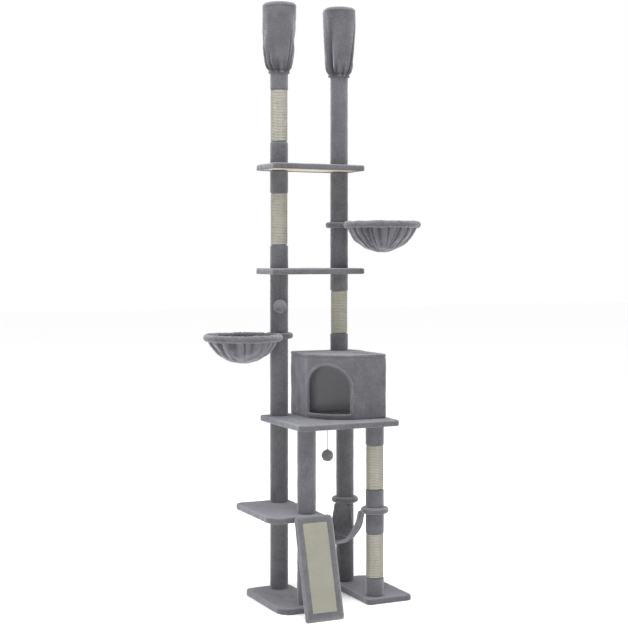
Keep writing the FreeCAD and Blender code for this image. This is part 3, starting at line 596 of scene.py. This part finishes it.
def basket(side):
    look = basketLook
    bearing = np.radians(look["bearing"][side])
    column = np.array(look["column"][side])
    armLow, armHigh = boxOf(f"{side}_basket_arm")
    level = (armLow[2] + armHigh[2]) / 2
    hub = np.append(column + look["reach"] * np.array([np.cos(bearing), np.sin(bearing)]), 0)
    seed = 700 if side == "left" else 760
    body = f"{side}_basket"

    # arm: a plush-covered board with a round end, flat where the roll lies on it
    outline = roundOutline(column, look["armRadius"], bearing, look["flatAt"])
    skin, lift = wrappedBoard(outline, armLow[2], armHigh[2], seed, look["armEdge"])
    addPiece(body + "_arm_cover", skin, plush, body, [body + "_arm"], "plush_board", lift)

    # cloth: a part of a ball, gathered into pleats under the roll that run down towards the bottom and
    # die out; the inside is the same surface, one cloth's thickness in
    deep = look["deep"][side] - look["roll"]
    ball = (look["hoop"] ** 2 + deep ** 2) / (2 * deep)
    around, down = 440, 70
    turn = np.arange(around)[:, None] * tau / around * np.ones((1, down))
    share = np.linspace(0, 1, down)[None, :] * np.ones((around, 1))
    valley, reach = pleats(turn, seed + 2, 27, 0.07)
    fine = pleats(turn, seed + 3, 60, 0.03)[0]
    lean = (0.20 * np.sin(3 * turn + seed) + 0.12 * np.sin(7 * turn)) * share
    moved = (np.arange(around)[:, None] + (lean * around / tau).astype(int)) % around
    valley, reach = np.take_along_axis(valley, moved, 0), np.take_along_axis(reach, moved, 0)
    fade = np.clip(1.1 - share / np.maximum(reach, 0.3), 0, 1) ** 0.7 * np.clip((1 - share) * 3.3, 0, 1)
    fold = look["fold"] * valley * fade + look["fineFold"] * fine * np.clip(1 - share * 3.5, 0, 1)
    angle = np.arcsin(look["hoop"] / ball) * (1 - share)
    n = swept(turn, np.sin(angle), -np.cos(angle))

    def bowl(inset, folding):
        points = n * (ball + 0.002 - inset)
        swell = 0.0012 * grain(points * [1, 1, 0.4], 0.05, seed + 4) + 0.0003 * grain(points, 0.008, seed + 5)
        push = (swell - folding * fold) * np.clip((1 - share) * 12, 0, 1)
        return points + n * push[..., None] + hub + [0, 0, level - deep + ball]

    shell = np.concatenate([bowl(look["cloth"], 0.8)[:, ::-1], bowl(0, 1)], 1)
    # painted shade in the pleat valleys and in a band just under the roll; painted highlight on the cloth
    # between the valleys, fading down the bowl
    shadow = np.clip(0.85 * valley * fade, 0, 0.7) + 0.3 * np.clip(1 - share * 18, 0, 1)
    ridgeHighlight = 0.13 * np.clip(1 - 2.2 * valley, 0, 1) * np.clip(1 - share * 1.3, 0, 1)
    lift = np.concatenate([(ridgeHighlight - shadow)[:, ::-1], ridgeHighlight - shadow], 1)
    cloth = addPiece(body + "_cloth", shell, plush, body, [body + "_bowl"], "plush", lift)

    # roll: a fat tube round the hoop, pinched by the gathers
    around, across = 640, 44
    turn = np.arange(around)[:, None] * tau / around * np.ones((1, across))
    section = np.arange(across)[None, :] * tau / across * np.ones((around, 1))
    pinch = pleats(turn + 0.12 * np.sin(section), seed + 6, 44, 0.024)[0]
    r = look["roll"] * (1 + 0.04 * np.sin(5 * turn + seed) + 0.04 * np.sin(11 * turn))
    r = r - look["pinch"] * pinch * (0.4 + 0.6 * np.abs(np.sin(section / 2 + 0.6)))
    points = swept(turn, look["hoop"] + r * np.cos(section), level + 1.02 * r * np.sin(section)) + hub
    push = 0.00045 * grain(points, 0.012, seed + 7) + 0.0003 * grain(points, 0.005, seed + 8)
    points = points + outward(points, True, True) * push[..., None]
    # painted highlight on the upper half of the roll, painted shade in the pinches
    lift = 0.2 * np.clip(np.sin(section), 0, 1) ** 2 - 0.5 * np.clip(pinch - 0.25, 0, 1)
    roll = addPiece(body + "_roll", points, plush, body, (), "plush", lift, loopV=True)


for side in ("left", "right"):
    basket(side)
print("baskets gathered")

# ceiling covers

coverLook = {"top": 0.074, "corner": 0.016, "hemTall": 0.012, "post": 0.0397, "cloth": 0.0026,
             "gather": 0.0062,
             "profile": [(0, 0.0445), (0.012, 0.045), (0.026, 0.0555), (0.05, 0.0615), (0.11, 0.0665),
                         (0.17, 0.070), (0.24, 0.073), (0.294, 0.074)]}
# each fold: bearing at its top and at the hem, level it starts from, width and depth in metres
coverFolds = {
    "left": [(-156, -152, 0.075, 0.007, 0.006), (-118, -116, 0.055, 0.006, 0.005),
             (-62, -77, 0.19, 0.004, 0.004), (-52, -66, 0.12, 0.004, 0.004),
             (-190, -186, 0.14, 0.009, 0.006), (30, 24, 0.2, 0.01, 0.006), (85, 90, 0.11, 0.008, 0.006),
             (140, 138, 0.17, 0.009, 0.006), (-138, -134, 0.1, 0.012, 0.002)],
    "right": [(-146, -152, 0.2, 0.011, 0.011), (-128, -127, 0.06, 0.006, 0.005),
              (-96, -98, 0.05, 0.005, 0.004), (-46, -64, 0.19, 0.005, 0.006), (-20, -30, 0.1, 0.007, 0.005),
              (35, 28, 0.15, 0.009, 0.006), (80, 86, 0.2, 0.01, 0.007), (135, 130, 0.12, 0.008, 0.006),
              (175, 170, 0.09, 0.007, 0.005)],
}


def ceilingCover(side, seed):
    # a plush bag over the jack: a level top, nearly straight sides, and long folds that deepen into
    # the gathers above its elastic hem
    look = coverLook
    low, high = boxOf(f"{side}_ceiling_cover")
    tall, hemTall = high[2] - low[2], look["hemTall"]
    centre = np.append((low + high)[:2] / 2, low[2])
    around, up = 380, 130
    height = np.linspace(0, tall - look["corner"], up)[None, :]
    turn = np.arange(around)[:, None] * tau / around * np.ones((1, up))
    radius = np.interp(height, *np.array(look["profile"]).T) * np.ones((around, 1))

    def line(at, wide):
        return np.exp(-((height - at) / wide) ** 2)

    push, shadow, ridgeHighlight = np.zeros_like(turn), np.zeros_like(turn), np.zeros_like(turn)
    for topBearing, hemBearing, startsAt, width, depth in coverFolds[side]:
        way = np.radians(hemBearing + (topBearing - hemBearing) * np.clip(height / startsAt, 0, 1))
        away = np.angle(np.exp(1j * (turn - way))) * radius / width
        life = np.clip(1.25 - height / startsAt, 0, 1) ** 0.8
        valley, crest = life * np.exp(-np.abs(away) ** 1.5), life * np.exp(-((away - 1.9) ** 2))
        push += depth * (0.55 * crest - 1.25 * valley)
        shadow += 0.85 * valley * min(depth / 0.006, 1)
        ridgeHighlight += 0.22 * crest
    above = 1 / (1 + np.exp(-(height - hemTall) / 0.002))
    gather = pleats(turn, seed, 34, 0.05)[0] * line(hemTall, 0.022) * above
    hemSeamShade, topSeam = line(hemTall, 0.0022), line(tall - look["corner"] - 0.004, 0.0022)
    crimp = np.cos(turn * 58)
    push += 0.0010 * crimp * (1 - above) - look["gather"] * gather
    push -= 0.0008 * topSeam + 0.0012 * line(hemTall, 0.003)
    shadow += 0.8 * gather
    ridgeHighlight = ridgeHighlight + 0.35 * (1 - above) * np.clip(crimp, 0, 1)
    points = swept(turn, radius, height)
    slack = np.clip(height / tall * 3, 0, 1)
    push += slack * (0.0016 * grain(points * [1, 1, 0.45], 0.055, seed + 1) - 0.001)
    push += 0.00035 * grain(points, 0.009, seed + 2)
    radius = np.clip(radius + push, look["post"] + 0.0032, look["top"] + 0.0045)
    walls = swept(turn, radius, height)
    bend = np.linspace(0, np.pi / 2, 9)[1:]
    last = radius[:, -1:]
    shoulder = last - look["corner"] * (1 - np.cos(bend))
    lid = last - look["corner"]
    shares = np.linspace(1, 0, 16)[1:-1]
    top = np.concatenate([shoulder, lid * shares], 1)
    topZ = np.append(height[0, -1] + look["corner"] * np.sin(bend), np.full(len(shares), tall))
    cap = swept(turn[:, :1], top, topZ)
    inner = swept(turn, np.clip(radius[:, ::-1] - look["cloth"], look["post"], None), height[:, ::-1])
    innerCap = cap[:, ::-1] * [0.965, 0.965, 1] - [0, 0, look["cloth"]]
    points = np.concatenate([innerCap, inner, walls, cap], 1) + centre
    lift = np.zeros(points.shape[:2])
    # painted shade in the fold valleys, the gathers and the two seams; painted highlight on the fold crests
    # and the crimped hem; and a flat 0.14 darkens the whole cover
    shade = np.clip(ridgeHighlight, 0, 0.3) - 0.14 - np.clip(shadow + 0.7 * hemSeamShade + 0.35 * topSeam, 0, 0.85)
    lift[:, cap.shape[1] + inner.shape[1]:-cap.shape[1]] = shade
    node = f"{side}_ceiling_cover"
    bag = addPiece(f"{side}_cover_bag", points, plush, f"{side}_jack", [node], "plush", lift)


ceilingCover("left", 820)
ceilingCover("right", 850)
print("ceiling covers gathered")

# condo

condoLook = {"bend": 0.170, "corner": 0.009, "wall": 0.012, "edge": 0.004, "bearing": 222, "doorWide": 0.198,
             "doorTall": 0.213, "sill": 0.020, "piping": 0.0052, "sillCorner": 0.010}
condoPlan, condoFloor, condoTop = boxCorners("condo_wall", (condoLook["bend"], *[condoLook["corner"]] * 3))
condoLow, condoHigh = boxOf("condo_wall")
bendMiddle = condoLow[:2] + condoLook["bend"]


def archOutline(grow, step):
    # the doorway seen flat: a sill with small round corners, upright sides and a half circle
    half, tall, r = condoLook["doorWide"] / 2 + grow, condoLook["doorTall"], condoLook["sillCorner"]
    crown = np.linspace(0, np.pi, int(np.pi * half / step))
    rise = tall - condoLook["doorWide"] / 2
    side = np.linspace(r, rise, int((rise - r) / step))[:-1]
    turn = np.linspace(-np.pi / 2, 0, 5)
    sill = np.linspace(-half + r, half - r, int(2 * (half - r) / step))[1:-1]
    right = np.column_stack([half - r + r * np.cos(turn), r - grow + r * np.sin(turn)])
    upright = np.column_stack([np.full(len(side), half), side])
    return np.vstack([np.column_stack([sill, np.full(len(sill), -grow)]), right, upright,
                      np.column_stack([half * np.cos(crown), rise + half * np.sin(crown)]),
                      upright[::-1] * [-1, 1], right[::-1] * [-1, 1]])


def onBend(flat, radius, low):
    # carries the flat outline straight back on to the bend of the wall
    turn = np.radians(condoLook["bearing"]) + np.arcsin(flat[:, 0] / condoLook["bend"])
    return np.column_stack([bendMiddle[0] + radius * np.cos(turn), bendMiddle[1] + radius * np.sin(turn),
                            low + flat[:, 1]])


def condoWalls():
    rim, inward = roundedOutline(condoPlan, 0.0045)[:2]
    low, high, e, w = condoFloor, condoTop, condoLook["edge"], condoLook["wall"]
    corners = [(0, low + e), (0, high - e), (0.3 * e, high - 0.3 * e), (e, high), (w - e, high),
               (w - 0.3 * e, high - 0.3 * e), (w, high - e), (w, low + e), (w - e, low), (e, low)]
    profile = np.array(fineProfile(corners, 0.005))
    points = rim[:, None] + inward[:, None] * profile[None, :, :1]
    points = np.concatenate([points, np.broadcast_to(profile[None, :, 1:], (*points.shape[:2], 1))], 2)
    push = 0.4e-3 * grain(points, 0.06, 900) + 0.25e-3 * grain(points, 0.011, 901) - 0.3e-3
    points = points - outward(points, True, True) * push[..., None]
    # painted light: the inner face of the back wall is painted much lighter, as if lit through the doorway
    paintedLitBackWall = (points[..., 1] > condoHigh[1] - 1.4 * w) & (np.abs(profile[:, 0] - w) < 1e-6)
    paintedLitBackWall &= (points[..., 0] > condoLow[0] + w) & (points[..., 0] < condoHigh[0] - w)
    walls = addPiece("condo_walls", points[:, ::-1], plush, "tree", ["condo_wall", "condo_back_wall"],
                     "plush_board", 0.95 * paintedLitBackWall[:, ::-1], loopV=True)

    # the doorway is cut out of the finished wall
    flat = archOutline(0, 0.005)
    way = swept(np.radians(condoLook["bearing"]), 1, 0)
    across = np.array([-way[1], way[0], 0])
    base = np.append(bendMiddle, low + condoLook["sill"])
    ring = base + flat[:, :1] * across + flat[:, 1:] * [0, 0, 1]
    block = np.stack([ring + way * 0.08, ring + way * 0.3], 1)
    cutter = bpy.data.objects.new("doorCutter", meshFromGrid("doorCutter", block))
    bpy.context.collection.objects.link(cutter)
    shape = bmesh.new()
    shape.from_mesh(cutter.data)
    bmesh.ops.recalc_face_normals(shape, faces=shape.faces)
    shape.to_mesh(cutter.data)
    shape.free()
    cutting = walls.modifiers.new("doorway", "BOOLEAN")
    cutting.object, cutting.operation, cutting.solver = cutter, "DIFFERENCE", "EXACT"
    done = bpy.data.meshes.new_from_object(walls.evaluated_get(bpy.context.evaluated_depsgraph_get()))
    walls.modifiers.clear()
    walls.data = done
    done.set_sharp_from_angle(angle=np.radians(50))
    bpy.data.objects.remove(cutter)

    # piping: a plush cord sewn round the doorway
    flat = archOutline(0.001, 0.0035)
    path = onBend(flat, condoLook["bend"] + 0.0005, low + condoLook["sill"])
    ahead = unit(np.roll(path, -1, 0) - np.roll(path, 1, 0))
    out = unit((path - np.append(bendMiddle, 0)) * [1, 1, 0])
    out = unit(out - (out * ahead).sum(1, keepdims=True) * ahead)
    beside = np.cross(ahead, out)
    turn = np.arange(14) * tau / 14
    r = condoLook["piping"]
    points = (path[:, None] + out[:, None] * (r * np.cos(turn))[None, :, None]
              + beside[:, None] * (1.25 * r * np.sin(turn))[None, :, None])
    points = points + outward(points, True, True) * (0.00035 * grain(points, 0.012, 905))[..., None]
    # the whole piping is lightened evenly a little towards the highlight colour
    lift = np.full(points.shape[:2], 0.05)
    addPiece("door_piping_roll", points, plush, "tree", ["door_piping"], "plush", lift, loopV=True)

    lid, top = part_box("condo_roof")
    skin, lift = wrappedBoard(roundedOutline(condoPlan, 0.0042), lid[2], top[2], 910, 0.005)
    addPiece("condo_roof_cover", skin, plush, "tree", ["condo_roof"], "plush_board", lift)


condoWalls()
print("condo upholstered")

# ramp

rampLook = {"lean": 16, "gap": 0.006, "thick": 0.020, "wide": 0.168, "top": 0.006, "corner": 0.020,
            "footCorner": 0.006, "border": 0.030, "mat": 0.004, "rib": 0.0064, "loop": 0.0075}
hinge = np.array(next(j["pos_m"] for j in frame["joints"] if j["name"] == "ramp_hinge"))
lean = np.radians(rampLook["lean"])
rampFoot = -(hinge[2] + rampLook["gap"] * np.sin(lean)) / np.cos(lean)


def onRamp(points):
    # from (across, up the ramp, out to the front) to its place in the frame
    along = np.array([0, np.sin(lean), np.cos(lean)])
    out = np.array([0, -np.cos(lean), np.sin(lean)])
    return hinge + points[..., :1] * [1, 0, 0] + points[..., 1:2] * along + points[..., 2:] * out


def ramp():
    look = rampLook
    half, back, front = look["wide"] / 2, look["gap"], look["gap"] + look["thick"]
    plan = [(-half, rampFoot, look["footCorner"]), (half, rampFoot, look["footCorner"]),
            (half, look["top"], look["corner"]), (-half, look["top"], look["corner"])]
    skin, lift = wrappedBoard(roundedOutline(plan, 0.0036), back, front, 950, 0.0075)
    # the board's painted edge highlight, at 0.7 strength
    addPiece("ramp_cover", onRamp(skin), plush, "ramp", ["ramp_board"], "plush_board", 0.7 * lift)

    # mat: ribs of looped sisal, each row shifted half a loop
    left, low, high = -half + look["border"], rampFoot + look["border"], look["top"] - look["border"]
    x = np.linspace(left, -left, 118)
    y = np.linspace(low, high, 400)
    gx, gy = np.meshgrid(x, y, indexing="ij")
    row = (gy - low) / look["rib"]
    plane = np.stack([gx, gy, 0 * gx], 2)
    wander = 0.5 * grain(plane, 0.03, 960)
    row = row + 0.16 * np.sin(tau * gx / look["loop"] / 2) + 0.1 * wander
    shift = 0.5 * (np.floor(row) % 2)
    rib = np.abs(np.sin(np.pi * row)) ** 0.7
    loop = 0.5 + 0.5 * np.cos(tau * (gx / look["loop"] + shift + 0.25 * wander))
    inset = np.minimum(np.minimum(gx - left, -left - gx), np.minimum(gy - low, high - gy))
    edge = np.clip(inset / 0.0035, 0, 1) ** 0.5
    deep = front - 0.0004 + (look["mat"] - 0.0004) * edge * (0.62 + 0.38 * rib * (0.45 + 0.55 * loop))
    deep = deep + 0.0001 * grain(plane, 0.02, 961)
    ragged = 0.0006 * grain(plane, 0.012, 962) * (1 - edge)
    top = onRamp(np.stack([gx + ragged * np.sign(gx), gy, deep], 2))
    # painted shade in the hollows between ribs and between loops
    paintedShade = 0.9 * np.clip(1.05 - rib * (0.5 + 0.5 * loop), 0, 1)
    addPiece("ramp_mat_weave", top, sisalMat, "ramp", ["ramp_mat"], "sisal_mat", paintedShade, loopU=False,
             uv=plane[..., :2] * 12)


ramp()
print("ramp covered")

# hammock

hammockLook = {"corner": 0.059, "tip": 0.030, "sag": 0.134, "cloth": 0.006, "rows": 55, "deckGap": 0.003,
               "frontDrop": 0.001, "rise": 0.0125, "hollow": 0.13, "knee": 0.006, "ripple": 0.0026}
columnAt = {"b": (0.0, -0.284), "c": (0.320, 0.0), "d": (0.320, -0.284)}


def hammock():
    # a triangle of doubled plush: the plane of its corners less a sag, which grows as the squares of a
    # place's three shares in the corners shrink, with slack ripples that run from each corner
    look = hammockLook
    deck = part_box("low_platform_core")[0][2] - look["deckGap"]
    posts = [np.array(columnAt[c]) for c in "bdc"]
    middle = sum(posts) / 3
    inward = [unit(middle - p) for p in posts]
    corners = [p + look["corner"] * n for p, n in zip(posts, inward)]
    levels = np.array([deck - look["frontDrop"], deck + look["rise"], deck + look["rise"]])
    tips = []
    for corner, n in zip(corners, inward):
        across = np.array([-n[1], n[0]]) * look["tip"]
        tips += [corner + across, corner - across]
    # plan: three tips joined by hollow edges, sampled all round
    ring = []
    for i, post in enumerate(posts):
        first, second, third = tips[2 * i], tips[2 * i + 1], tips[(2 * i + 2) % 6]
        t = np.linspace(0, 1, 12)[:-1, None]
        ring.append(post + look["corner"] * unit(first + (second - first) * t - post))
        t = np.linspace(0, 1, 70)[:-1, None]
        chord = (second + third) / 2
        bow = chord + 2 * look["hollow"] * (middle - chord)
        ring.append(second * (1 - t) ** 2 + 2 * t * (1 - t) * bow + third * t ** 2)
    ring = np.vstack(ring)
    shares = np.linspace(0, 1, look["rows"])[1:]
    plan = middle + (ring - middle)[:, None] * shares[None, :, None]

    def height(plan):
        (x1, y1), (x2, y2), (x3, y3) = corners
        area = (y2 - y3) * (x1 - x3) + (x3 - x2) * (y1 - y3)
        a = ((y2 - y3) * (plan[..., 0] - x3) + (x3 - x2) * (plan[..., 1] - y3)) / area
        b = ((y3 - y1) * (plan[..., 0] - x3) + (x1 - x3) * (plan[..., 1] - y3)) / area
        weights = np.stack([a, b, 1 - a - b], -1)
        slack = 1.5 * (1 - (weights ** 2).sum(-1))
        drop = look["sag"] * (1 - np.exp(-2 * slack)) / (1 - np.exp(-2))
        level = weights @ levels - look["knee"] * np.log(1 + np.exp(drop / look["knee"]))
        ripple = np.zeros_like(level)
        for k, corner in enumerate(corners):
            off = plan - corner
            far = np.linalg.norm(off, axis=-1)
            bearing = np.arctan2(off[..., 1], off[..., 0])
            ripple += np.sin(bearing * (17 + 3 * k) + k) * np.exp(-((far - 0.05) / 0.06) ** 2)
        return level + look["ripple"] * ripple

    z = height(plan)
    limit, ease = levels.max() + 0.004, 0.01
    z = np.where(z > limit - ease, limit - ease * np.exp(-(z - limit + ease) / ease), z)
    top = np.concatenate([plan, z[..., None]], 2)
    top[..., 2] += 0.0010 * grain(top, 0.045, 980) + 0.0003 * grain(top, 0.009, 981)
    lean = outward(top)
    lean = np.where(lean[..., 2:] < 0, -lean, lean)
    bottom = top - lean * look["cloth"]
    rim, under = top[:, -1], bottom[:, -1]
    side = unit((rim - np.append(middle, 0)) * [1, 1, 0])
    bend = np.linspace(-np.pi / 2, np.pi / 2, 9)[1:-1]
    centre = (rim + under) / 2
    thick = np.linalg.norm(rim - under, axis=1) / 2
    up = unit(rim - under)
    hem = (centre[:, None] + up[:, None] * (1.25 * thick[:, None] * -np.sin(bend))[..., None]
           + side[:, None] * (1.1 * thick[:, None] * np.cos(bend))[..., None])
    points = np.concatenate([top, hem, bottom[:, ::-1]], 1)
    lift = np.zeros(points.shape[:2])
    # painted highlight along the rolled hem
    lift[:, top.shape[1]:top.shape[1] + len(bend)] = 0.35
    sling = addPiece("hammock_sling", points, plush, "tree", ["hammock"], "plush", lift)


hammock()
print("hammock hung")

# hanging balls

toyLook = {"high": {"ball": 0.028, "cord": 0.0026, "inside": 0.008, "paint": darkCord, "slot": "dark_cord"},
           "low": {"ball": 0.025, "cord": 0.0032, "inside": 0.008, "paint": paleCord, "slot": "pale_cord"}}


def toy(which, seed):
    look = toyLook[which]
    low, high = boxOf(f"{which}_ball")
    cordLow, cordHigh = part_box(f"{which}_ball_cord")
    x, y = (low + high)[:2] / 2
    centre = (low + high) / 2
    around, up = 120, 62
    turn = np.arange(around)[:, None] * tau / around
    climb = np.linspace(-np.pi / 2, np.pi / 2, up + 2)[None, 1:-1]
    n = swept(turn, np.cos(climb), np.sin(climb))
    skin = n * 0.03
    r = look["ball"] - 0.0004 + 0.0006 * grain(skin, 0.012, seed) + 0.0004 * grain(skin, 0.005, seed + 1)
    seam = np.abs(n @ np.array([0.8, 0.6, 0.0]))
    r = r - 0.0009 * np.exp(-(seam / 0.05) ** 2)
    # the ball's colour is lightened towards the highlight colour by about 0.12, varied at random
    lift = 0.12 + 0.1 * grain(skin, 0.008, seed + 2)
    ball = addPiece(f"{which}_ball_plush", centre + n * r[..., None], plush, f"{which}_ball",
                    [f"{which}_ball"], "plush", lift)

    top = cordHigh[2] - 0.35 * look["cord"]  # clear of the board when the cord swings
    foot = cordLow[2] - look["inside"]
    # knot where the cord goes into the ball
    n = n[::3, ::3]
    r = 0.0042 + 0.0008 * grain(n * 0.004, 0.004, seed + 3)
    points = n * r[..., None] * [1, 1, 0.8] + [x, y, high[2] - 0.0003]
    knot = addPiece(f"{which}_ball_knot", points, look["paint"], f"{which}_ball", slot=look["slot"])

    # staple that holds the cord's end under the board
    leg = np.array([(-0.006, 0.0035), (-0.006, -0.0022), (-0.0054, -0.0028)])
    bend = np.vstack([leg, leg[::-1] * [-1, 1]])
    wire, behind = 0.0007, 0.0026
    ring = np.arange(8)[:, None] * tau / 8
    side = unit(np.gradient(bend, axis=0)) @ np.array([[0, 1], [-1, 0]])
    section = bend + wire * np.cos(ring)[..., None] * side
    points = np.stack(np.broadcast_arrays(x + section[..., 0], y - behind + wire * np.sin(ring),
                                          cordHigh[2] + section[..., 1]), 2)
    addPiece(f"{which}_cord_staple", points, steel, "tree", slot="zinc_steel")

    curve = bpy.data.curves.new(f"{which}_cord_line", "CURVE")
    curve.dimensions = "3D"
    curve.bevel_depth, curve.bevel_resolution, curve.resolution_u = look["cord"] / 2, 4, 12
    curve.use_fill_caps = True
    spline = curve.splines.new("NURBS")
    spline.points.add(4)
    for point, share in zip(spline.points, (0, 0.25, 0.5, 0.75, 1)):
        point.co = (x, y, top + (foot - top) * share, 1)
    spline.order_u, spline.use_endpoint_u = 3, True
    curve.materials.append(look["paint"])
    cord = bpy.data.objects.new(f"{which}_cord_line", curve)
    bpy.context.collection.objects.link(cord)
    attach(cord, f"{which}_cord")
    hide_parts(f"{which}_ball_cord")


toy("high", 1000)
toy("low", 1010)
print("balls hung")

# light and floor


lamps = {"overhead": dict(place=(-0.5, -1.0, 5.6), aim=(0.1, -0.1, 1.2), size=3.0, power=340),
         "front": dict(place=(-2.7, -4.9, 0.95), aim=(0.15, -0.1, 0.9), size=1.2, power=140),
         "right": dict(place=(3.8, -2.2, 2.6), aim=(0.1, -0.1, 1.2), size=2.5, power=20)}
floorLook = {"half": 30, "colour": 0.98}


def areaLight(name, place, aim, size, power):
    lamp = bpy.data.lights.new(name, "AREA")
    lamp.shape, lamp.size, lamp.energy = "SQUARE", size, power
    light = bpy.data.objects.new(name, lamp)
    light.location = place
    way = np.array(aim, float) - np.array(place, float)
    flat = np.hypot(way[0], way[1])
    light.rotation_euler = (np.arctan2(flat, -way[2]), 0, np.arctan2(-way[0], way[1]))
    bpy.context.collection.objects.link(light)


for name, lamp in lamps.items():
    areaLight(name, **lamp)
world = bpy.data.worlds.new("studio")
world.use_nodes = True
world.node_tree.nodes["Background"].inputs["Color"].default_value = (1, 1, 1, 1)
world.node_tree.nodes["Background"].inputs["Strength"].default_value = 1.0
bpy.context.scene.world = world
floorMesh = bpy.data.meshes.new("floor")
half = floorLook["half"]
floorCorners = [(x * half, y * half, 0) for x, y in ((-1, -1), (1, -1), (1, 1), (-1, 1))]
floorMesh.from_pydata(floorCorners, [], [(0, 1, 2, 3)])
floor = bpy.data.objects.new("floor", floorMesh)
bpy.context.collection.objects.link(floor)
floorPaint, floorShader = newMaterial("paleFloor")[::2]
floorShader.inputs["Base Color"].default_value = (*[floorLook["colour"]] * 3, 1)
floorMesh.materials.append(floorPaint)

print("scene ready")
